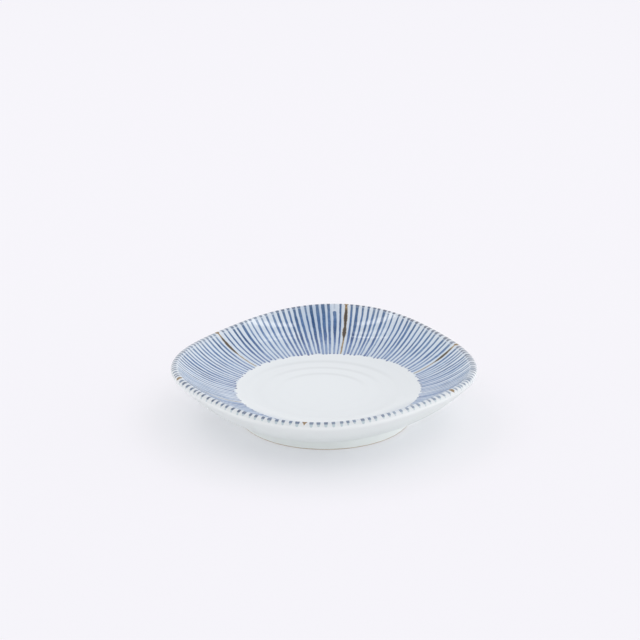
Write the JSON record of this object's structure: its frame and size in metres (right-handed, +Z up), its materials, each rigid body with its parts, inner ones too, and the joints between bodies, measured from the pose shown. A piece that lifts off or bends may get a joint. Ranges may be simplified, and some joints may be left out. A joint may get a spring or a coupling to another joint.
{
  "type": "side plate",
  "caption": "Shallow porcelain side plate of soft square plan with a gently waving rounded rim, blue brushed radial stripes round a plain white well, and a round foot ring.",
  "frame": {"origin": "middle of the plate on the table surface, at the centre of the foot ring's standing face", "axes": "+Z up out of the well, +X towards one of the lower corners of the rim, +Y towards one of the higher corners of the rim"},
  "size_m": [0.1494, 0.1648, 0.0296],
  "materials": {
    "dish_glaze": "clear gloss glaze over blue brushed stripes and brown accent lines",
    "foot_glaze": "clear gloss glaze, with a bare buff standing edge"
  },
  "bodies": {
    "root": {"dish_body": "dish_glaze", "foot_ring": "foot_glaze"}
  },
  "joints": []
}
